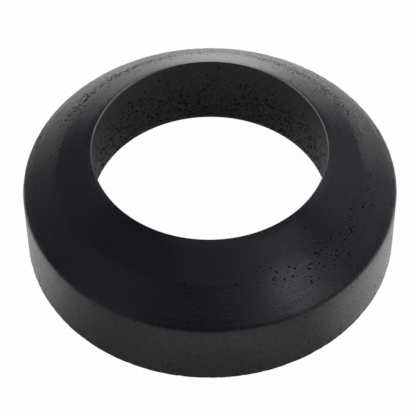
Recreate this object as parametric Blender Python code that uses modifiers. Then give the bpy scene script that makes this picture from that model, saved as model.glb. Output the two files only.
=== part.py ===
# Doughnut cistern washer: the thick black rubber ring that seals a close-coupled cistern to its pan.
#
# It is one moulding, so it is one turned solid. The wide base has a recess that fits over the back nut
# under the cistern, the cone seats in the pan's inlet, and the flush passes through the bore.
# It is modelled as it lies on a table, with the cone up. The axis is Z, and the origin lies on it, in
# the plane of the face that the washer rests on.

import math

import bmesh
import bpy
from mathutils import Matrix, Vector

MM = 0.001

# Across the washer, from the bore outwards. They add up to the outside diameter:
# 55.7 + 2 x (0.75 + 0.25 + 9.15 + 7) = 90 mm.
BORE_DIAMETER = 55.7 * MM        # at the top rim
BORE_TAPER = 0.75 * MM           # how far the bore's wall leans out on its way down, to leave the mould
LEAD_IN_WIDTH = 0.25 * MM        # what the band at the bore's lower edge adds to that
RECESS_ROOF_WIDTH = 9.15 * MM    # flat roof of the recess, from the bore's lower edge to the recess's wall
SKIRT_THICKNESS = 7.0 * MM       # the ring around the recess, which carries the rest face

# Up the washer, from the rest face.
OUTER_WALL_HEIGHT = 18.1 * MM    # upright outer wall, up to the foot of the cone
CONE_HEIGHT = 12.5 * MM          # from there to the rim, whose rounding brings the top down to 30.5 mm
RECESS_DEPTH = 9.5 * MM
LEAD_IN_HEIGHT = 1.3 * MM        # band at the bore's lower edge

# The cone has a faint break in its slope: it is a little flatter inside this line than outside it.
BREAK_FROM_RIM = 8.8 * MM        # how far out from the rim the break runs
BREAK_CROWN = 0.5 * MM           # how far it stands above a straight cone

# Roundings of the edges.
RIM_ROUNDING = 0.15 * MM
BREAK_ROUNDING = 14.0 * MM
CONE_FOOT_ROUNDING = 1.8 * MM
BASE_OUTER_ROUNDING = 0.3 * MM
BASE_INNER_ROUNDING = 0.7 * MM
RECESS_CORNER_ROUNDING = 1.2 * MM
BORE_EDGE_ROUNDING = 0.15 * MM

# How the curves are drawn. An arc takes at most this share of a side, so that two arcs on it never meet.
LARGEST_SHARE_OF_SIDE = 0.45
STEPS_AROUND = 96
STEPS_PER_ROUNDING = 3
MERGE_DISTANCE = 0.00001

OBJECT_NAME = "doughnut_washer"
COLLECTION_NAME = "doughnut cistern washer"
RUBBER_COLOUR = (0.016, 0.0155, 0.018, 1.0)
RUBBER_ROUGHNESS = 0.45


def clear_scene():
    for thing in list(bpy.data.objects):
        bpy.data.objects.remove(thing, do_unlink=True)


def section_corners():
    """The ring's cut face as corners (radius, height, rounding), down the outside and back up the bore."""
    rim = BORE_DIAMETER / 2
    lead_in = rim + BORE_TAPER
    bore_edge = lead_in + LEAD_IN_WIDTH
    recess = bore_edge + RECESS_ROOF_WIDTH
    outside = recess + SKIRT_THICKNESS
    top = OUTER_WALL_HEIGHT + CONE_HEIGHT
    slope = CONE_HEIGHT / (outside - rim)
    break_height = top - slope * BREAK_FROM_RIM + BREAK_CROWN
    return [
        (rim, top, RIM_ROUNDING),
        (rim + BREAK_FROM_RIM, break_height, BREAK_ROUNDING),
        (outside, OUTER_WALL_HEIGHT, CONE_FOOT_ROUNDING),
        (outside, 0.0, BASE_OUTER_ROUNDING),
        (recess, 0.0, BASE_INNER_ROUNDING),
        (recess, RECESS_DEPTH, RECESS_CORNER_ROUNDING),
        (bore_edge, RECESS_DEPTH, BORE_EDGE_ROUNDING),
        (lead_in, RECESS_DEPTH + LEAD_IN_HEIGHT, 0.0),
    ]


def rounded_corner(corner, before, after, rounding):
    """Points of the arc that touches both sides of a corner, from the side before to the side after."""
    side_before = before - corner
    side_after = after - corner
    half_angle = side_before.angle(side_after) / 2
    room = LARGEST_SHARE_OF_SIDE * min(side_before.length, side_after.length)
    reach = min(rounding / math.tan(half_angle), room)
    arc_radius = reach * math.tan(half_angle)
    middle = (side_before.normalized() + side_after.normalized()).normalized()
    centre = corner + middle * (arc_radius / math.sin(half_angle))
    first = corner + side_before.normalized() * reach - centre
    last = corner + side_after.normalized() * reach - centre
    turn = first.angle_signed(last)
    return [
        centre + Matrix.Rotation(-turn * step / STEPS_PER_ROUNDING, 2) @ first
        for step in range(STEPS_PER_ROUNDING + 1)
    ]


def rounded_outline(corners):
    """Closed outline through the corners, with an arc at each one that has a rounding."""
    places = [Vector((radius, height)) for radius, height, rounding in corners]
    points = []
    for index, (radius, height, rounding) in enumerate(corners):
        if rounding == 0.0:
            points.append(places[index])
            continue
        after = places[(index + 1) % len(places)]
        points += rounded_corner(places[index], places[index - 1], after, rounding)
    return points


def rubber():
    material = bpy.data.materials.new("black rubber")
    material.use_nodes = True
    shader = material.node_tree.nodes["Principled BSDF"]
    shader.inputs["Base Color"].default_value = RUBBER_COLOUR
    shader.inputs["Roughness"].default_value = RUBBER_ROUGHNESS
    shader.inputs["Metallic"].default_value = 0.0
    material.diffuse_color = RUBBER_COLOUR
    return material


def turned_ring(name, outline, material):
    """A closed outline at +X, turned a full circle about Z."""
    mesh = bpy.data.meshes.new(name)
    drawing = bmesh.new()
    corners = [drawing.verts.new((radius, 0.0, height)) for radius, height in outline]
    for index, corner in enumerate(corners):
        drawing.edges.new((corner, corners[(index + 1) % len(corners)]))
    drawing.to_mesh(mesh)
    drawing.free()
    mesh.materials.append(material)
    ring = bpy.data.objects.new(name, mesh)
    screw = ring.modifiers.new("turn", "SCREW")
    screw.axis = "Z"
    screw.angle = 2 * math.pi
    screw.steps = STEPS_AROUND
    screw.render_steps = STEPS_AROUND
    screw.use_merge_vertices = True
    screw.merge_threshold = MERGE_DISTANCE
    screw.use_smooth_shade = True
    return ring


clear_scene()
collection = bpy.data.collections.new(COLLECTION_NAME)
bpy.context.scene.collection.children.link(collection)
collection.objects.link(turned_ring(OBJECT_NAME, rounded_outline(section_corners()), rubber()))
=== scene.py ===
# Doughnut cistern washer, dressed: the black rubber ring between a close-coupled cistern and its pan.

import math

import bpy
from mathutils import Matrix, Vector


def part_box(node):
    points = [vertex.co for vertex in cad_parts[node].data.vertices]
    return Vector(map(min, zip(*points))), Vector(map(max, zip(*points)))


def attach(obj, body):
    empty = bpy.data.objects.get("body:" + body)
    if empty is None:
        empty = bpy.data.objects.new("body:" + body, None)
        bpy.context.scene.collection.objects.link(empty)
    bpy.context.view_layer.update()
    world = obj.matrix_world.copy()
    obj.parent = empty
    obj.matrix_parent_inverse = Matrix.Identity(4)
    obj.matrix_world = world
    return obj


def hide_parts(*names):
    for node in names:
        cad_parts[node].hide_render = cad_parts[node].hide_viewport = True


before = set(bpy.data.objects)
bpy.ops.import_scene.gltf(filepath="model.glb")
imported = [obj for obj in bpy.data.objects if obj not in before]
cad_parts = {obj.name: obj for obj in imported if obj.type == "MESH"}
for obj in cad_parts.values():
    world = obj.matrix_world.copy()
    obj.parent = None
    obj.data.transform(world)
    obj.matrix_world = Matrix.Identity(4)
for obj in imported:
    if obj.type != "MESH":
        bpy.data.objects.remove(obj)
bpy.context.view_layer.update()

# The washer's body.
# One ring of black rubber, cured under pressure in a two-part mould. Its cone seats in the pan's inlet,
# and its recessed base fits over the back nut under the cistern. Nothing is fixed to it.
NODE = "doughnut_washer"
MM = 0.001
OUTSIDE_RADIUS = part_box(NODE)[1].x
RIM_RADIUS = 27.85 * MM          # of the bore, at its top
BORE_TAPER = 0.75 * MM           # how far the bore's wall leans out on its way down
LEAD_IN_WIDTH = 0.25 * MM        # what the band at the bore's lower edge adds to that
LEAD_IN_HEIGHT = 1.3 * MM
SKIRT_THICKNESS = 7.0 * MM       # the ring around the recess
RECESS_DEPTH = 9.5 * MM
OUTER_WALL_HEIGHT = 18.1 * MM
CONE_HEIGHT = 12.5 * MM
BREAK_FROM_RIM = 8.8 * MM        # the faint break in the cone's slope, and how far it stands out there
BREAK_CROWN = 0.5 * MM

RIM_ROUNDING = 0.15 * MM
BREAK_ROUNDING = 14.0 * MM
CONE_FOOT_ROUNDING = 1.8 * MM
BASE_OUTER_ROUNDING = 0.3 * MM
BASE_INNER_ROUNDING = 0.7 * MM
RECESS_CORNER_ROUNDING = 1.2 * MM
BORE_EDGE_ROUNDING = 0.15 * MM
LEAD_IN_ROUNDING = 0.2 * MM

LEAD_IN_RADIUS = RIM_RADIUS + BORE_TAPER
BORE_EDGE_RADIUS = LEAD_IN_RADIUS + LEAD_IN_WIDTH
RECESS_RADIUS = OUTSIDE_RADIUS - SKIRT_THICKNESS
RIM_HEIGHT = OUTER_WALL_HEIGHT + CONE_HEIGHT
CONE_SLOPE = CONE_HEIGHT / (OUTSIDE_RADIUS - RIM_RADIUS)
BREAK_RADIUS = RIM_RADIUS + BREAK_FROM_RIM
BREAK_HEIGHT = RIM_HEIGHT - CONE_SLOPE * BREAK_FROM_RIM + BREAK_CROWN

# Corners of the cut face (radius, height, rounding), down the outside and back up the bore.
SECTION = [
    (RIM_RADIUS, RIM_HEIGHT, RIM_ROUNDING),
    (BREAK_RADIUS, BREAK_HEIGHT, BREAK_ROUNDING),
    (OUTSIDE_RADIUS, OUTER_WALL_HEIGHT, CONE_FOOT_ROUNDING),
    (OUTSIDE_RADIUS, 0.0, BASE_OUTER_ROUNDING),
    (RECESS_RADIUS, 0.0, BASE_INNER_ROUNDING),
    (RECESS_RADIUS, RECESS_DEPTH, RECESS_CORNER_ROUNDING),
    (BORE_EDGE_RADIUS, RECESS_DEPTH, BORE_EDGE_ROUNDING),
    (LEAD_IN_RADIUS, RECESS_DEPTH + LEAD_IN_HEIGHT, LEAD_IN_ROUNDING),
]

# How finely the ring is drawn, and the circle that its section is carried around.
TURN_PER_STEP = math.radians(18)
FEWEST_STEPS = 2
LONGEST_STEP = 3.0 * MM
STEPS_AROUND = 384
SHARP_EDGE = math.radians(38)
CORE_RADIUS = (RIM_RADIUS + OUTSIDE_RADIUS) / 2


def rounded_section(corners):
    """The section as a closed run of points: arcs at its corners, and its straight sides in short steps."""
    points = []
    places = [Vector((radius, height)) for radius, height, rounding in corners]
    for index, (radius, height, rounding) in enumerate(corners):
        corner = places[index]
        to_before = (places[index - 1] - corner).normalized()
        to_after = (places[(index + 1) % len(places)] - corner).normalized()
        half_angle = to_before.angle(to_after) / 2
        reach = rounding / math.tan(half_angle)
        centre = corner + (to_before + to_after).normalized() * (rounding / math.sin(half_angle))
        first = corner + to_before * reach - centre
        last = corner + to_after * reach - centre
        turn = first.angle_signed(last)
        if points:
            points += straight_side(points[-1], centre + first)
        steps = max(FEWEST_STEPS, math.ceil(abs(turn) / TURN_PER_STEP))
        for step in range(steps + 1):
            points.append(centre + Matrix.Rotation(-turn * step / steps, 2) @ first)
    return points + straight_side(points[-1], points[0])


def straight_side(start, end):
    """Points between two ends, no further apart than LONGEST_STEP."""
    steps = math.ceil((end - start).length / LONGEST_STEP)
    return [start.lerp(end, step / steps) for step in range(1, steps)]


def node(tree, kind, links=None, **settings):
    """Adds a node with its settings. Links feed inputs with values, sockets or nodes' first outputs."""
    added = tree.nodes.new(kind)
    for name, value in settings.items():
        setattr(added, name, value)
    for name, value in (links or {}).items():
        if isinstance(name, int):
            socket = added.inputs[name]
        else:
            socket = next(s for s in added.inputs if s.enabled and s.name == name)
        if isinstance(value, bpy.types.Node):
            value = next(s for s in value.outputs if s.enabled)
        if isinstance(value, bpy.types.NodeSocket):
            tree.links.new(value, socket)
        else:
            socket.default_value = value
    return added


# The section is drawn around the core circle, with its height along the drawing's -Y.
outline = rounded_section(SECTION)
outline_mesh = bpy.data.meshes.new("washer_section")
outline_edges = [(index, (index + 1) % len(outline)) for index in range(len(outline))]
outline_points = [(point.x - CORE_RADIUS, -point.y, 0.0) for point in outline]
outline_mesh.from_pydata(outline_points, outline_edges, [])
washer = bpy.data.objects.new("rubber_washer", outline_mesh)
bpy.context.scene.collection.objects.link(washer)

# Pores: gas and grit leave small ragged pits in the rubber's skin. They lie thick on the lower three
# quarters of the bore, in a loose line just outside the cone's break, and along the outer wall's edges.
# Zone name, pores per square centimetre where thickest, smallest and largest radius, depth for its radius.
PORE_ZONES = [
    ("Bore", 120.0, 0.11 * MM, 0.38 * MM, 0.9),
    ("Cone", 420.0, 0.08 * MM, 0.30 * MM, 1.0),
    ("Wall", 90.0, 0.07 * MM, 0.24 * MM, 0.6),
]
SMALL_PORES_PREVAIL = 1.8        # the power that an even draw of sizes is raised to
SHORTEST_PORE = 0.9              # for its width
LONGEST_PORE = 1.7
PORE_SHAPES = 4
SEED = 7
SEED_STEP = 10
SQUARE_CENTIMETRE = 0.0001
NIBBLE_DEPTH = 0.14 * MM

moulding = bpy.data.node_groups.new("moulded ring with pores", "GeometryNodeTree")
moulding.interface.new_socket("Geometry", in_out="INPUT", socket_type="NodeSocketGeometry")
moulding_values = {
    "Steps around": ("NodeSocketInt", STEPS_AROUND),
    "Core radius": ("NodeSocketFloat", CORE_RADIUS),
    "Edge wear": ("NodeSocketFloat", NIBBLE_DEPTH),
    "Seed": ("NodeSocketInt", SEED),
    "Rubber": ("NodeSocketMaterial", None),
}
for zone, thickest, smallest, largest, depth in PORE_ZONES:
    moulding_values[zone + " pore density"] = ("NodeSocketFloat", thickest / SQUARE_CENTIMETRE)
    moulding_values[zone + " smallest pore"] = ("NodeSocketFloat", smallest)
    moulding_values[zone + " largest pore"] = ("NodeSocketFloat", largest)
    moulding_values[zone + " pore depth"] = ("NodeSocketFloat", depth)
moulding_input = {}
for name, (kind, value) in moulding_values.items():
    moulding_input[name] = moulding.interface.new_socket(name, in_out="INPUT", socket_type=kind)
moulding.interface.new_socket("Geometry", in_out="OUTPUT", socket_type="NodeSocketGeometry")
given = node(moulding, "NodeGroupInput").outputs

profile = node(moulding, "GeometryNodeMeshToCurve", {"Mesh": given["Geometry"]})
core = node(moulding, "GeometryNodeCurvePrimitiveCircle",
            {"Resolution": given["Steps around"], "Radius": given["Core radius"]})
ring = node(moulding, "GeometryNodeCurveToMesh", {"Curve": core, "Profile Curve": profile})

# Where a point lies: its height, its distance from the axis, its bearing in degrees (0 at the back, +Y,
# growing towards +X), and how squarely it faces up and out.
position = node(moulding, "GeometryNodeInputPosition")
normal = node(moulding, "GeometryNodeInputNormal")
place = node(moulding, "ShaderNodeSeparateXYZ", {0: position}).outputs
height = place["Z"]
flat_place = node(moulding, "ShaderNodeCombineXYZ", {"X": place["X"], "Y": place["Y"]})
radius = node(moulding, "ShaderNodeVectorMath", {0: flat_place}, operation="LENGTH").outputs["Value"]
bearing = node(moulding, "ShaderNodeMath", {0: place["X"], 1: place["Y"]}, operation="ARCTAN2")
bearing = node(moulding, "ShaderNodeMath", {0: bearing}, operation="DEGREES")
facing_up = node(moulding, "ShaderNodeSeparateXYZ", {0: normal}).outputs["Z"]
outward = node(moulding, "ShaderNodeVectorMath", {0: flat_place}, operation="NORMALIZE")
facing_out = node(moulding, "ShaderNodeVectorMath", {0: normal, 1: outward}, operation="DOT_PRODUCT")
facing_out = facing_out.outputs["Value"]


def band(value, starts, full, still_full, ends, share=1.0, least=0.0):
    """A share that holds inside a band of a value, and eases off on both sides to the least part of it."""
    rise = node(moulding, "ShaderNodeMapRange", {"Value": value, "From Min": starts, "From Max": full},
                interpolation_type="SMOOTHSTEP")
    fall = node(moulding, "ShaderNodeMapRange", {"Value": value, "From Min": ends, "From Max": still_full},
                interpolation_type="SMOOTHSTEP")
    both = node(moulding, "ShaderNodeMath", {0: rise, 1: fall}, operation="MULTIPLY")
    both = node(moulding, "ShaderNodeMath", {0: both, 1: least}, operation="MAXIMUM")
    return node(moulding, "ShaderNodeMath", {0: both, 1: share}, operation="MULTIPLY")


# A band is given by four values: where it starts, is full, is still full, and ends. No height, radius,
# noise or cosine here goes past FAR, so a band that ends at OPEN has no upper end.
FAR = 1.0
OPEN = (FAR, 2 * FAR)

# Edge wear: the foot of the cone and the base's edge are nibbled by trimming and handling.
EDGE_BAND = 1.3 * MM
NIBBLE_LENGTH = 1.6 * MM
NIBBLED = (0.42, 0.75)
foot = band(height, OUTER_WALL_HEIGHT - EDGE_BAND, OUTER_WALL_HEIGHT,
            OUTER_WALL_HEIGHT, OUTER_WALL_HEIGHT + EDGE_BAND)
base_edge = band(height, -FAR, 0.0, 0.0, EDGE_BAND)
edges = node(moulding, "ShaderNodeMath", {0: foot, 1: base_edge}, operation="MAXIMUM")
edges = band(radius, OUTSIDE_RADIUS - 2 * EDGE_BAND, OUTSIDE_RADIUS - EDGE_BAND, *OPEN, edges)
nibbles = node(moulding, "ShaderNodeTexNoise",
               {"Vector": position, "Scale": 1 / NIBBLE_LENGTH, "Detail": 3.0, "Roughness": 0.7})
nibbles = band(nibbles, *NIBBLED, *OPEN, edges)
nibbles = node(moulding, "ShaderNodeMath", {0: nibbles, 1: given["Edge wear"]}, operation="MULTIPLY")
inward = node(moulding, "ShaderNodeVectorMath", {0: normal, 1: (-1.0, -1.0, -1.0)}, operation="MULTIPLY")
inward = node(moulding, "ShaderNodeVectorMath", {0: inward, "Scale": nibbles}, operation="SCALE")
ring = node(moulding, "GeometryNodeSetPosition", {"Geometry": ring, "Offset": inward})

# Pores gather in clumps, which are loose on the cone and the wall and more even in the bore.
CLUMP_LENGTH = 5.0 * MM
LOOSE_CLUMPS = (0.36, 0.60)
BETWEEN_LOOSE_CLUMPS = 0.15
EVEN_CLUMPS = (0.30, 0.62)
BETWEEN_EVEN_CLUMPS = 0.35
gathering = node(moulding, "ShaderNodeTexNoise",
                 {"Vector": position, "Scale": 1 / CLUMP_LENGTH, "Detail": 2.0, "Roughness": 0.6})
clumps = band(gathering, *LOOSE_CLUMPS, *OPEN, 1.0, BETWEEN_LOOSE_CLUMPS)
even_clumps = band(gathering, *EVEN_CLUMPS, *OPEN, 1.0, BETWEEN_EVEN_CLUMPS)

# Bore: few pores towards its top.
BORE_PORES = (RECESS_DEPTH + 0.2 * MM, RECESS_DEPTH + 1.5 * MM, 19.0 * MM, 28.0 * MM)
BORE_LEAST = 0.03
FACES_IN = (-2 * FAR, -FAR, -0.95, -0.8)
bore_share = band(height, *BORE_PORES, even_clumps, BORE_LEAST)
bore_share = band(facing_out, *FACES_IN, bore_share)

# Cone: a loose line just outside the break, in patches around the ring (middle, half width, amount), each
# of them full over the middle part of its width.
CONE_PATCHES = [(-48.0, 42.0, 1.0), (2.0, 24.0, 0.8), (42.0, 40.0, 1.0), (130.0, 38.0, 0.65)]
PATCH_FULL = 0.3
PATCH_LEAST = 0.01
PORE_LINE = (BREAK_RADIUS - 0.8 * MM, BREAK_RADIUS + 0.1 * MM,
             BREAK_RADIUS + 0.8 * MM, BREAK_RADIUS + 3.2 * MM)
LINE_LEAST = 0.04
FACES_UP = (0.6, 0.75)
cone_share = 0.0
for middle, half_width, amount in CONE_PATCHES:
    patch = band(bearing, middle - half_width, middle - PATCH_FULL * half_width,
                 middle + PATCH_FULL * half_width, middle + half_width, amount, PATCH_LEAST)
    cone_share = node(moulding, "ShaderNodeMath", {0: cone_share, 1: patch}, operation="MAXIMUM")
cone_share = band(radius, *PORE_LINE, cone_share, LINE_LEAST)
cone_share = node(moulding, "ShaderNodeMath", {0: cone_share, 1: clumps}, operation="MULTIPLY")
cone_share = band(facing_up, *FACES_UP, *OPEN, cone_share)

# Outer wall: along its lower third, and a few along its top edge.
LOWER_WALL = (-2 * FAR, -FAR, 1.5 * MM, 8.0 * MM)
WALL_LEAST = 0.08
WALL_TOP = (14.5 * MM, 16.5 * MM)
WALL_TOP_AMOUNT = 0.5
FACES_OUT = (0.9, 0.97)
wall_share = band(height, *LOWER_WALL, 1.0, WALL_LEAST)
top_share = band(height, *WALL_TOP, *OPEN, WALL_TOP_AMOUNT)
wall_share = node(moulding, "ShaderNodeMath", {0: wall_share, 1: top_share}, operation="MAXIMUM")
wall_share = node(moulding, "ShaderNodeMath", {0: wall_share, 1: clumps}, operation="MULTIPLY")
wall_share = band(facing_out, *FACES_OUT, *OPEN, wall_share)
pore_share = {"Bore": bore_share, "Cone": cone_share, "Wall": wall_share}

# A few ragged lumps, of which each pore is a stretched and turned copy. They are made a metre in radius,
# and each reads the noise at a place of its own.
NOISE_MIDDLE = (0.5, 0.5, 0.5)
RAGGEDNESS = 0.9
SHAPE_STEP = 3.7
lumps = node(moulding, "GeometryNodeJoinGeometry")
for shape in range(PORE_SHAPES):
    lump = node(moulding, "GeometryNodeMeshIcoSphere", {"Radius": 1.0, "Subdivisions": 1})
    ragged = node(moulding, "ShaderNodeTexNoise", {"W": SHAPE_STEP * shape, "Scale": 1.1, "Detail": 1.0},
                  noise_dimensions="4D").outputs["Color"]
    ragged = node(moulding, "ShaderNodeVectorMath", {0: ragged, 1: NOISE_MIDDLE}, operation="SUBTRACT")
    ragged = node(moulding, "ShaderNodeVectorMath", {0: ragged, "Scale": RAGGEDNESS}, operation="SCALE")
    lump = node(moulding, "GeometryNodeSetPosition", {"Geometry": lump, "Offset": ragged})
    lump = node(moulding, "GeometryNodeStoreNamedAttribute",
                {"Geometry": lump, "Name": "pore", "Value": 1.0}, data_type="FLOAT", domain="FACE")
    lump = node(moulding, "GeometryNodeGeometryToInstance", {0: lump})
    moulding.links.new(lump.outputs[0], lumps.inputs[0])

# A pore lies flat on the skin, with its length turned any way. The last pick stays below PORE_SHAPES.
ANY_SIDEWAYS = (0.3, 0.2, 1.0)
LARGEST_PICK = PORE_SHAPES - 0.001
pores = node(moulding, "GeometryNodeJoinGeometry")
for index, zone in enumerate(pore_share):
    seed = node(moulding, "ShaderNodeMath", {0: given["Seed"], 1: index}, operation="ADD")
    density = node(moulding, "ShaderNodeMath", {0: given[zone + " pore density"], 1: pore_share[zone]},
                   operation="MULTIPLY")
    scatter = node(moulding, "GeometryNodeDistributePointsOnFaces",
                   {"Mesh": ring, "Density": density, "Seed": seed})
    draw = {}
    for order, use in enumerate(("size", "length", "spin", "shape"), start=1):
        own_seed = node(moulding, "ShaderNodeMath", {0: seed, 1: SEED_STEP * order}, operation="ADD")
        draw[use] = node(moulding, "FunctionNodeRandomValue", {"Seed": own_seed})
    size = node(moulding, "ShaderNodeMath", {0: draw["size"], 1: SMALL_PORES_PREVAIL}, operation="POWER")
    size = node(moulding, "ShaderNodeMapRange", {
        "Value": size, "To Min": given[zone + " smallest pore"], "To Max": given[zone + " largest pore"]})
    length = node(moulding, "ShaderNodeMapRange",
                  {"Value": draw["length"], "To Min": SHORTEST_PORE, "To Max": LONGEST_PORE})
    length = node(moulding, "ShaderNodeMath", {0: length, 1: size}, operation="MULTIPLY")
    pit_depth = node(moulding, "ShaderNodeMath", {0: size, 1: given[zone + " pore depth"]},
                     operation="MULTIPLY")
    scale = node(moulding, "ShaderNodeCombineXYZ", {"X": length, "Y": size, "Z": pit_depth})
    turn = node(moulding, "FunctionNodeAxesToRotation",
                {"Primary Axis": scatter.outputs["Normal"], "Secondary Axis": ANY_SIDEWAYS},
                primary_axis="Z", secondary_axis="X")
    spin = node(moulding, "ShaderNodeMath", {0: draw["spin"], 1: 2 * math.pi}, operation="MULTIPLY")
    spin = node(moulding, "ShaderNodeCombineXYZ", {"Z": spin})
    spin = node(moulding, "FunctionNodeEulerToRotation", {0: spin})
    turn = node(moulding, "FunctionNodeRotateRotation", {0: turn, 1: spin}, rotation_space="LOCAL")
    shape = node(moulding, "ShaderNodeMath", {0: draw["shape"], 1: LARGEST_PICK}, operation="MULTIPLY")
    shape = node(moulding, "ShaderNodeMath", {0: shape}, operation="FLOOR")
    placed = node(moulding, "GeometryNodeInstanceOnPoints", {
        "Points": scatter, "Instance": lumps, "Pick Instance": True, "Instance Index": shape,
        "Rotation": turn, "Scale": scale})
    moulding.links.new(placed.outputs[0], pores.inputs[0])

pitted = node(moulding, "GeometryNodeMeshBoolean", {"Mesh 1": ring, "Mesh 2": pores},
              operation="DIFFERENCE", solver="MANIFOLD")
whole = node(moulding, "GeometryNodeRealizeInstances", {0: pitted})
finished = node(moulding, "GeometryNodeSetMaterial", {"Geometry": whole, "Material": given["Rubber"]})
node(moulding, "NodeGroupOutput", {0: finished})


def linear(hex_colour):
    """An sRGB hex colour as the linear colour that Blender's sockets take."""
    channels = [int(hex_colour[start:start + 2], 16) / 255 for start in (1, 3, 5)]
    return [c / 12.92 if c <= 0.04045 else ((c + 0.055) / 1.055) ** 2.4 for c in channels] + [1.0]


# Rubber: carbon-black filled natural rubber, moulded against plain steel. That gives a satin skin close to
# black, which turns pale grey where it mirrors the room edge on. The cone has a violet bloom, and the bore
# and the walls are a warmer black with pale flecks. A pale sheen is painted on the outer cone at the back,
# in streaks around the ring and most of all along its foot, and a highlight is painted on the rim at the
# washer's sides.
# The moulding's own grain is too fine to show, so it is drawn 0.35 mm coarse.
GRAIN_LENGTH = 0.35 * MM
CLOUD_LENGTH = 14.0 * MM
FLECK_LENGTH = 0.5 * MM
MOTTLE_LENGTH = 0.9 * MM
PINHOLE_SPACING = 0.6 * MM
STREAK_LENGTH = 9.0 * MM
STREAK_WIDTH = 0.5 * MM
DASH_LENGTH = 0.8 * MM
DASH_WIDTH = 0.35 * MM
rubber = bpy.data.materials.new("moulded_black_rubber")
rubber.use_nodes = True
tree = rubber.node_tree
shader = tree.nodes["Principled BSDF"]

# Where a point lies: its place, its distance out from the axis, and its level, which is the same all over
# a straight cone.
where = node(tree, "ShaderNodeTexCoord").outputs["Object"]
along = node(tree, "ShaderNodeSeparateXYZ", {0: where}).outputs
flat = node(tree, "ShaderNodeVectorMath", {0: where, 1: (1.0, 1.0, 0.0)}, operation="MULTIPLY")
out = node(tree, "ShaderNodeVectorMath", {0: flat}, operation="LENGTH").outputs["Value"]
level = node(tree, "ShaderNodeMath", {0: out, 1: CONE_SLOPE, 2: along["Z"]}, operation="MULTIPLY_ADD")
CONE_LEVEL = RIM_HEIGHT + CONE_SLOPE * RIM_RADIUS

cloud = node(tree, "ShaderNodeTexNoise", {"Vector": where, "Scale": 1 / CLOUD_LENGTH, "Detail": 4.0})
grain = node(tree, "ShaderNodeTexNoise", {"Vector": where, "Scale": 1 / GRAIN_LENGTH, "Detail": 3.0})
flecks = node(tree, "ShaderNodeTexNoise", {"Vector": where, "Scale": 1 / FLECK_LENGTH, "Detail": 2.0})
mottle = node(tree, "ShaderNodeTexNoise",
              {"Vector": where, "Scale": 1 / MOTTLE_LENGTH, "Detail": 4.0, "Roughness": 0.7})
pinholes = node(tree, "ShaderNodeTexVoronoi", {"Vector": where, "Scale": 1 / PINHOLE_SPACING})

# Streaks and dashes run around the ring: they change fast with height and radius, and slowly with bearing.
around = node(tree, "ShaderNodeVectorMath", {0: flat}, operation="NORMALIZE")
across = node(tree, "ShaderNodeMath", {0: out, 1: along["Z"]}, operation="SUBTRACT")
streak_place = node(tree, "ShaderNodeVectorMath", {0: around, "Scale": OUTSIDE_RADIUS / STREAK_LENGTH},
                    operation="SCALE")
streak_level = node(tree, "ShaderNodeMath", {0: across, 1: 1 / STREAK_WIDTH}, operation="MULTIPLY")
streaks = node(tree, "ShaderNodeTexNoise",
               {"Vector": streak_place, "W": streak_level, "Scale": 1.0, "Detail": 3.0},
               noise_dimensions="4D")
dash_place = node(tree, "ShaderNodeVectorMath", {0: around, "Scale": OUTSIDE_RADIUS / DASH_LENGTH},
                  operation="SCALE")
dash_level = node(tree, "ShaderNodeMath", {0: across, 1: 1 / DASH_WIDTH}, operation="MULTIPLY")
dashes = node(tree, "ShaderNodeTexVoronoi", {"Vector": dash_place, "W": dash_level, "Scale": 1.0},
              voronoi_dimensions="4D")

# A violet reflection painted at the front right, and the middles of the two places at the back where a pale
# sheen is painted.
REFLECTION_PLACE = (18.5 * MM, -35.0 * MM, 22.0 * MM)
REFLECTION_REACH = 9.0 * MM
SHEEN_PLACES = {"left": (-32.0 * MM, 26.0 * MM, 21.0 * MM), "right": (33.0 * MM, 24.0 * MM, 21.0 * MM)}
SHEEN_REACH = 28.0 * MM
SHEEN_FULL = 8.0 * MM
painted_reflection = node(tree, "ShaderNodeVectorMath", {0: where, 1: REFLECTION_PLACE}, operation="DISTANCE").outputs["Value"]
painted_reflection = node(tree, "ShaderNodeMapRange", {"Value": painted_reflection, "From Min": REFLECTION_REACH, "From Max": 0.0},
            interpolation_type="SMOOTHSTEP")
sheen_distance = {}
for side, middle in SHEEN_PLACES.items():
    sheen_distance[side] = node(tree, "ShaderNodeVectorMath", {0: where, 1: middle}, operation="DISTANCE")
    sheen_distance[side] = sheen_distance[side].outputs["Value"]

# Masks over the skin: what each one reads, the value where it starts, the value where it is full, and how
# much it is there.
MASKS = {
    "cloud": (cloud, 0.3, 0.7, 1.0),
    "flecks": (flecks, 0.54, 0.66, 0.8),
    "mottle": (mottle, 0.50, 0.60, 0.75),
    "pinholes": (pinholes, 0.28, 0.12, 1.0),
    "streaks": (streaks, 0.40, 0.58, 1.0),
    "dashes": (dashes, 0.60, 0.42, 1.0),
    # The places at the back where a pale sheen is painted on the outer cone.
    "back left": (sheen_distance["left"], SHEEN_REACH, SHEEN_FULL, 1.0),
    "back right": (sheen_distance["right"], SHEEN_REACH, SHEEN_FULL, 0.85),
    "cone": (level, CONE_LEVEL - 1.5 * MM, CONE_LEVEL - 0.3 * MM, 1.0),
    "past break": (out, BREAK_RADIUS - 0.5 * MM, BREAK_RADIUS + 1.5 * MM, 1.0),
    "dashes start": (out, BREAK_RADIUS - 0.8 * MM, BREAK_RADIUS + 0.2 * MM, 1.0),
    "dashes end": (out, BREAK_RADIUS + 3.2 * MM, BREAK_RADIUS + 0.9 * MM, 1.0),
    "foot": (out, OUTSIDE_RADIUS - 3.0 * MM, OUTSIDE_RADIUS - 1.2 * MM, 1.0),
    "rim top": (along["Z"], RIM_HEIGHT - 0.7 * MM, RIM_HEIGHT - 0.4 * MM, 1.0),
    "rim edge": (out, RIM_RADIUS + 0.45 * MM, RIM_RADIUS + 0.2 * MM, 1.0),
    "behind front": (along["Y"], -12.0 * MM, 4.0 * MM, 0.75),
    "before back": (along["Y"], 27.0 * MM, 20.0 * MM, 1.0),
    "bore": (out, LEAD_IN_RADIUS + 0.6 * MM, LEAD_IN_RADIUS + 0.3 * MM, 1.0),
    "lower bore": (along["Z"], 27.0 * MM, 20.0 * MM, 1.0),
}
mask = {}
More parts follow.
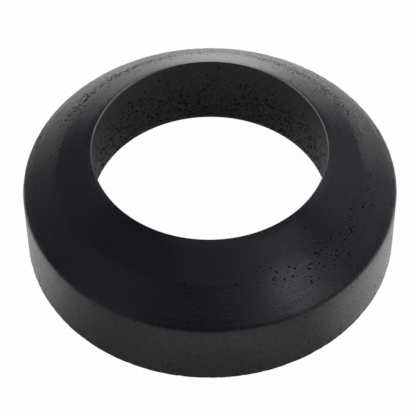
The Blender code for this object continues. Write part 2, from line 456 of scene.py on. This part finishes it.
for name, (value, starts, full, most) in MASKS.items():
    mask[name] = node(tree, "ShaderNodeMapRange",
                      {"Value": value, "From Min": starts, "From Max": full, "To Max": most})
mask["painted_reflection"] = painted_reflection
mask["sheen places"] = node(tree, "ShaderNodeMath", {0: mask["back left"], 1: mask["back right"]},
                       operation="MAXIMUM")
mask["off cone"] = node(tree, "ShaderNodeMath", {0: 1.0, 1: mask["cone"]}, operation="SUBTRACT")
mask["outer cone"] = node(tree, "ShaderNodeMath", {0: mask["cone"], 1: mask["past break"]},
                          operation="MULTIPLY")
mask["inner cone"] = node(tree, "ShaderNodeMath", {0: mask["cone"], 1: mask["outer cone"]},
                          operation="SUBTRACT")
mask["off inner cone"] = node(tree, "ShaderNodeMath", {0: 1.0, 1: mask["inner cone"]},
                              operation="SUBTRACT")

# What each finish and each painted light covers: the places where all of its masks hold.
COVERS = {
    "pale flecks": ("flecks", "off cone"),
    # A pale sheen painted in streaks on the outer cone at the back, and a painted highlight along its foot.
    "painted sheen": ("sheen places", "outer cone", "streaks"),
    "painted foot highlight": ("foot", "painted sheen"),
    # A highlight painted along the rim, at the washer's sides.
    "painted rim highlight": ("rim top", "rim edge", "behind front", "before back"),
    "fine pinholes": ("pinholes", "off inner cone"),
    "dashes along break": ("dashes", "dashes start", "dashes end", "cone", "sheen places"),
    "bore mottle": ("mottle", "bore", "lower bore"),
}
for name, parts in COVERS.items():
    cover = mask[parts[0]]
    for part in parts[1:]:
        cover = node(tree, "ShaderNodeMath", {0: cover, 1: mask[part]}, operation="MULTIPLY")
    mask[name] = cover

# Colours: the plain skin, then what lies over it. All pits are painted nearly black, as painted shade
# inside them: the modelled pores, the pinholes that are too small to model, the dashes where the skin is
# nicked along the break, and the mottle of fine pits in the bore.
WARM_BLACKS = ("#141416", "#19191c")
VIOLET_BLACKS = ("#18141f", "#1e1a29")
# Pale flecks are the rubber's own colour; the rest is painted light: a reflection, a sheen and highlights.
FLECKS_AND_PAINTED_LIGHT = {
    "pale flecks": "#413f44",
    # painted reflection of a soft light at the front right
    "painted_reflection": "#46424f",
    # painted sheen, and painted highlight along the foot
    "painted sheen": "#625e5b",
    "painted foot highlight": "#85807c",
    # painted highlight along the rim
    "painted rim highlight": "#8a8686",
}
PAINTED_PIT_SHADE = "#0a0a0b"
plain_skin = []
for dark_cloud, light_cloud in (WARM_BLACKS, VIOLET_BLACKS):
    plain_skin.append(node(tree, "ShaderNodeMix", {
        "Factor": mask["cloud"], "A": linear(dark_cloud), "B": linear(light_cloud)}, data_type="RGBA"))
skin = node(tree, "ShaderNodeMix", {"Factor": mask["cone"], "A": plain_skin[0], "B": plain_skin[1]},
            data_type="RGBA")
for name, colour in FLECKS_AND_PAINTED_LIGHT.items():
    skin = node(tree, "ShaderNodeMix", {"Factor": mask[name], "A": skin, "B": linear(colour)},
                data_type="RGBA")
# Where the pits are: they are painted nearly black as shade, and made matt.
pits = node(tree, "ShaderNodeAttribute", attribute_name="pore").outputs["Fac"]
for name in ("fine pinholes", "dashes along break", "bore mottle"):
    pits = node(tree, "ShaderNodeMath", {0: pits, 1: mask[name]}, operation="MAXIMUM")
colour = node(tree, "ShaderNodeMix", {"Factor": pits, "A": skin, "B": linear(PAINTED_PIT_SHADE)}, data_type="RGBA")
tree.links.new(next(s for s in colour.outputs if s.enabled), shader.inputs["Base Color"])

# Roughness: a satin that varies with the grain and the streaks, smoother on the inner cone, and matt in
# the pits. The streaks show fully on the outer cone only.
NOISE_LOW = 0.3
NOISE_HIGH = 0.7
SATIN_SMOOTHEST = 0.31
SATIN_ROUGHEST = 0.39
STREAK_LOW = 0.35
STREAK_HIGH = 0.65
STREAK_SMOOTHER = -0.06
STREAK_ROUGHER = 0.08
STREAKS_ELSEWHERE = 0.3
INNER_CONE_SMOOTHER = -0.09
PIT_ROUGHNESS = 0.85
satin = node(tree, "ShaderNodeMapRange", {
    "Value": grain, "From Min": NOISE_LOW, "From Max": NOISE_HIGH,
    "To Min": SATIN_SMOOTHEST, "To Max": SATIN_ROUGHEST})
streaky = node(tree, "ShaderNodeMapRange", {
    "Value": streaks, "From Min": STREAK_LOW, "From Max": STREAK_HIGH,
    "To Min": STREAK_SMOOTHER, "To Max": STREAK_ROUGHER})
streak_share = node(tree, "ShaderNodeMapRange", {"Value": mask["outer cone"], "To Min": STREAKS_ELSEWHERE})
satin = node(tree, "ShaderNodeMath", {0: streaky, 1: streak_share, 2: satin}, operation="MULTIPLY_ADD")
satin = node(tree, "ShaderNodeMath", {0: mask["inner cone"], 1: INNER_CONE_SMOOTHER, 2: satin},
             operation="MULTIPLY_ADD")
roughness = node(tree, "ShaderNodeMix", {"Factor": pits, "A": satin, "B": PIT_ROUGHNESS},
                 data_type="FLOAT")
tree.links.new(next(s for s in roughness.outputs if s.enabled), shader.inputs["Roughness"])

# Relief, for a grain of 1: the streaks stand highest on the outer cone, and pinholes and dashes are sunk.
RELIEF_DEPTH = 0.05 * MM
RELIEF_STRENGTH = 0.5
STREAK_RELIEF_ELSEWHERE = 0.15
STREAK_RELIEF_OUTER_CONE = 2.8
PINHOLE_RELIEF = -0.6
DASH_RELIEF = -10.0
streak_relief = node(tree, "ShaderNodeMapRange", {
    "Value": mask["outer cone"], "To Min": STREAK_RELIEF_ELSEWHERE, "To Max": STREAK_RELIEF_OUTER_CONE})
relief = node(tree, "ShaderNodeMath", {0: streaks, 1: streak_relief, 2: grain}, operation="MULTIPLY_ADD")
for name, sunk in (("fine pinholes", PINHOLE_RELIEF), ("dashes along break", DASH_RELIEF)):
    relief = node(tree, "ShaderNodeMath", {0: mask[name], 1: sunk, 2: relief}, operation="MULTIPLY_ADD")
relief = node(tree, "ShaderNodeBump",
              {"Height": relief, "Distance": RELIEF_DEPTH, "Strength": RELIEF_STRENGTH})
tree.links.new(relief.outputs[0], shader.inputs["Normal"])
RUBBER_IOR = 1.52
shader.inputs["IOR"].default_value = RUBBER_IOR

# The moulding is made a plain mesh, and takes the place of the washer's CAD node.
modifier = washer.modifiers.new("moulding", "NODES")
modifier.node_group = moulding
for name, (kind, value) in moulding_values.items():
    modifier[moulding_input[name].identifier] = rubber if value is None else value
evaluated = washer.evaluated_get(bpy.context.evaluated_depsgraph_get())
washer_mesh = bpy.data.meshes.new_from_object(evaluated)
washer.modifiers.clear()
washer.data = washer_mesh
bpy.data.meshes.remove(outline_mesh)
washer_mesh.shade_smooth()
washer_mesh.set_sharp_from_angle(angle=SHARP_EDGE)
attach(washer, "root")
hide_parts(NODE)

# The studio.
# White paper under the washer, with three softboxes behind it and a weak fill in front, in a dim room with
# a few pale cards. The paper shows nearly white to the camera, and keeps a faint trace of the shadow.
FLOOR_HALF_SIZE = 2.0
FLOOR_GAP = 0.02 * MM            # keeps the paper clear of the rest face
floor_mesh = bpy.data.meshes.new("paper")
floor_corners = [
    (x * FLOOR_HALF_SIZE, y * FLOOR_HALF_SIZE, -FLOOR_GAP)
    for x, y in ((-1, -1), (1, -1), (1, 1), (-1, 1))
]
floor_mesh.from_pydata(floor_corners, [], [(0, 1, 2, 3)])
paper_floor = bpy.data.objects.new("paper", floor_mesh)
bpy.context.scene.collection.objects.link(paper_floor)

# Pools of light on the paper, which only the rubber's reflections see: place on the paper, radius where the
# pool is full and where it ends, in millimetres, and strength.
POOLS = [
    (11, 134, 14, 50, 0.74),
    (4, 82, 14, 48, 0.80),
    (-40, 80, 3, 32, 1.00),
    (-72, 96, 5, 36, 0.55),
    (46, 82, 3, 32, 0.55),
    (75, 96, 5, 36, 0.35),
    (50, 60, 10, 70, 0.21),
    (60, 5, 5, 60, 0.68),
    (-60, 5, 5, 60, 0.58),
    (44, -24, 5, 26, 0.34),
    (-46, -12, 5, 22, 0.25),
    (0, -48, 15, 36, 0.12),
    (0, 14, 10, 28, 0.09),
    (14, 20, 2, 14, 0.05),
]
PAPER_COLOUR = "#f2f2f2"
WHITE = "#ffffff"
SHOWN_WHITE = 0.98
paper = bpy.data.materials.new("white_paper")
paper.use_nodes = True
tree = paper.node_tree
tree.nodes.clear()
rays = node(tree, "ShaderNodeLightPath").outputs
where = node(tree, "ShaderNodeTexCoord").outputs["Object"]
glow = 0.0
for x, y, full, ends, strength in POOLS:
    reach = node(tree, "ShaderNodeVectorMath", {0: where, 1: (x * MM, y * MM, 0.0)}, operation="DISTANCE")
    pool = node(tree, "ShaderNodeMapRange", {
        "Value": reach.outputs["Value"], "From Min": ends * MM, "From Max": full * MM, "To Max": strength},
        interpolation_type="SMOOTHSTEP")
    glow = node(tree, "ShaderNodeMath", {0: glow, 1: pool}, operation="ADD")
mirrored = node(tree, "ShaderNodeMath", {0: rays["Is Glossy Ray"], 1: rays["Is Transmission Ray"]},
                operation="MAXIMUM")
glow = node(tree, "ShaderNodeMath", {0: glow, 1: mirrored}, operation="MULTIPLY")
glow = node(tree, "ShaderNodeEmission", {"Color": linear(WHITE), "Strength": glow})
plain = node(tree, "ShaderNodeBsdfDiffuse", {"Color": linear(PAPER_COLOUR)})
lit = node(tree, "ShaderNodeAddShader", {0: plain, 1: glow})
white = node(tree, "ShaderNodeEmission", {"Color": linear(WHITE), "Strength": 1.0})
shown = node(tree, "ShaderNodeMath", {0: rays["Is Camera Ray"], 1: SHOWN_WHITE}, operation="MULTIPLY")
surface = node(tree, "ShaderNodeMixShader", {0: shown, 1: lit, 2: white})

# From below the paper is see-through, so that the washer's underside can be looked at.
from_below = node(tree, "ShaderNodeNewGeometry").outputs["Backfacing"]
nothing = node(tree, "ShaderNodeBsdfTransparent")
surface = node(tree, "ShaderNodeMixShader", {0: from_below, 1: surface, 2: nothing})
node(tree, "ShaderNodeOutputMaterial", {"Surface": surface})
floor_mesh.materials.append(paper)


def towards(bearing, elevation):
    """The direction at a bearing (0 at the back, +Y, growing towards +X) and an elevation, in degrees."""
    level_turn = Matrix.Rotation(math.radians(-bearing), 3, "Z")
    return level_turn @ Matrix.Rotation(math.radians(elevation), 3, "X") @ Vector((0.0, 1.0, 0.0))


# The room's pale cards: bearing and elevation, cosine from the middle where a card starts and where it is
# full, and strength.
CARDS = [
    (60, 25, 0.80, 0.98, 0.34),
    (-60, 25, 0.80, 0.98, 0.16),
    (130, 33, 0.84, 0.98, 0.50),
    (-125, 22, 0.82, 0.98, 0.32),
    (180, 80, 0.85, 0.99, 0.42),
]
world = bpy.data.worlds.new("dim_studio")
bpy.context.scene.world = world
world.use_nodes = True
tree = world.node_tree
tree.nodes.clear()
direction = node(tree, "ShaderNodeTexCoord").outputs["Generated"]
brightness = node(tree, "ShaderNodeLightPath").outputs["Is Camera Ray"]
for bearing, elevation, starts, full, strength in CARDS:
    nearness = node(tree, "ShaderNodeVectorMath", {0: direction, 1: towards(bearing, elevation)},
                    operation="DOT_PRODUCT")
    card = node(tree, "ShaderNodeMapRange", {
        "Value": nearness.outputs["Value"], "From Min": starts, "From Max": full, "To Max": strength},
        interpolation_type="SMOOTHSTEP")
    brightness = node(tree, "ShaderNodeMath", {0: brightness, 1: card}, operation="ADD")
sky = node(tree, "ShaderNodeBackground", {"Color": linear(WHITE), "Strength": brightness})
node(tree, "ShaderNodeOutputWorld", {"Surface": sky})

# Lamp name, bearing, elevation, side of its square face, power in watts.
LAMP_DISTANCE = 700 * MM
LAMPS = [
    ("back_softbox", 5, 50, 400 * MM, 0.80),
    ("right_softbox", 50, 50, 300 * MM, 1.06),
    ("left_softbox", -50, 50, 300 * MM, 0.64),
    ("front_fill", 125, 35, 300 * MM, 0.26),
]
for name, bearing, elevation, side, power in LAMPS:
    lamp_data = bpy.data.lights.new(name, "AREA")
    lamp_data.size = side
    lamp_data.energy = power
    lamp = bpy.data.objects.new(name, lamp_data)
    lamp.location = towards(bearing, elevation) * LAMP_DISTANCE
    lamp.rotation_euler = (-lamp.location).to_track_quat("-Z", "Y").to_euler()
    lamp.visible_camera = False
    bpy.context.scene.collection.objects.link(lamp)

# The camera: a long lens from half a metre, looking down at the washer. Its distance is measured from a
# point just above the paper, and it aims a little to the left of the axis.
CAMERA_ELEVATION = math.radians(50.77)
CAMERA_DISTANCE = 495.5 * MM
CAMERA_PIVOT = Vector((0.0, 0.0, 0.4)) * MM
CAMERA_AIM = Vector((-0.5, 0.0, 8.15)) * MM
CAMERA_ROLL = math.radians(-0.53)
FOCAL_PIXELS = 2000
PICTURE_PIXELS = 416
SENSOR_WIDTH = 36.0
camera_data = bpy.data.cameras.new("camera")
camera_data.sensor_width = SENSOR_WIDTH
camera_data.lens = SENSOR_WIDTH * FOCAL_PIXELS / PICTURE_PIXELS
camera = bpy.data.objects.new("camera", camera_data)
camera_direction = Vector((0.0, -math.cos(CAMERA_ELEVATION), math.sin(CAMERA_ELEVATION)))
camera.location = CAMERA_PIVOT + camera_direction * CAMERA_DISTANCE
look = (CAMERA_AIM - camera.location).to_track_quat("-Z", "Y").to_matrix()
camera.rotation_euler = (look @ Matrix.Rotation(CAMERA_ROLL, 3, "Z")).to_euler()
bpy.context.scene.collection.objects.link(camera)
bpy.context.scene.camera = camera
bpy.context.scene.view_settings.view_transform = "Standard"
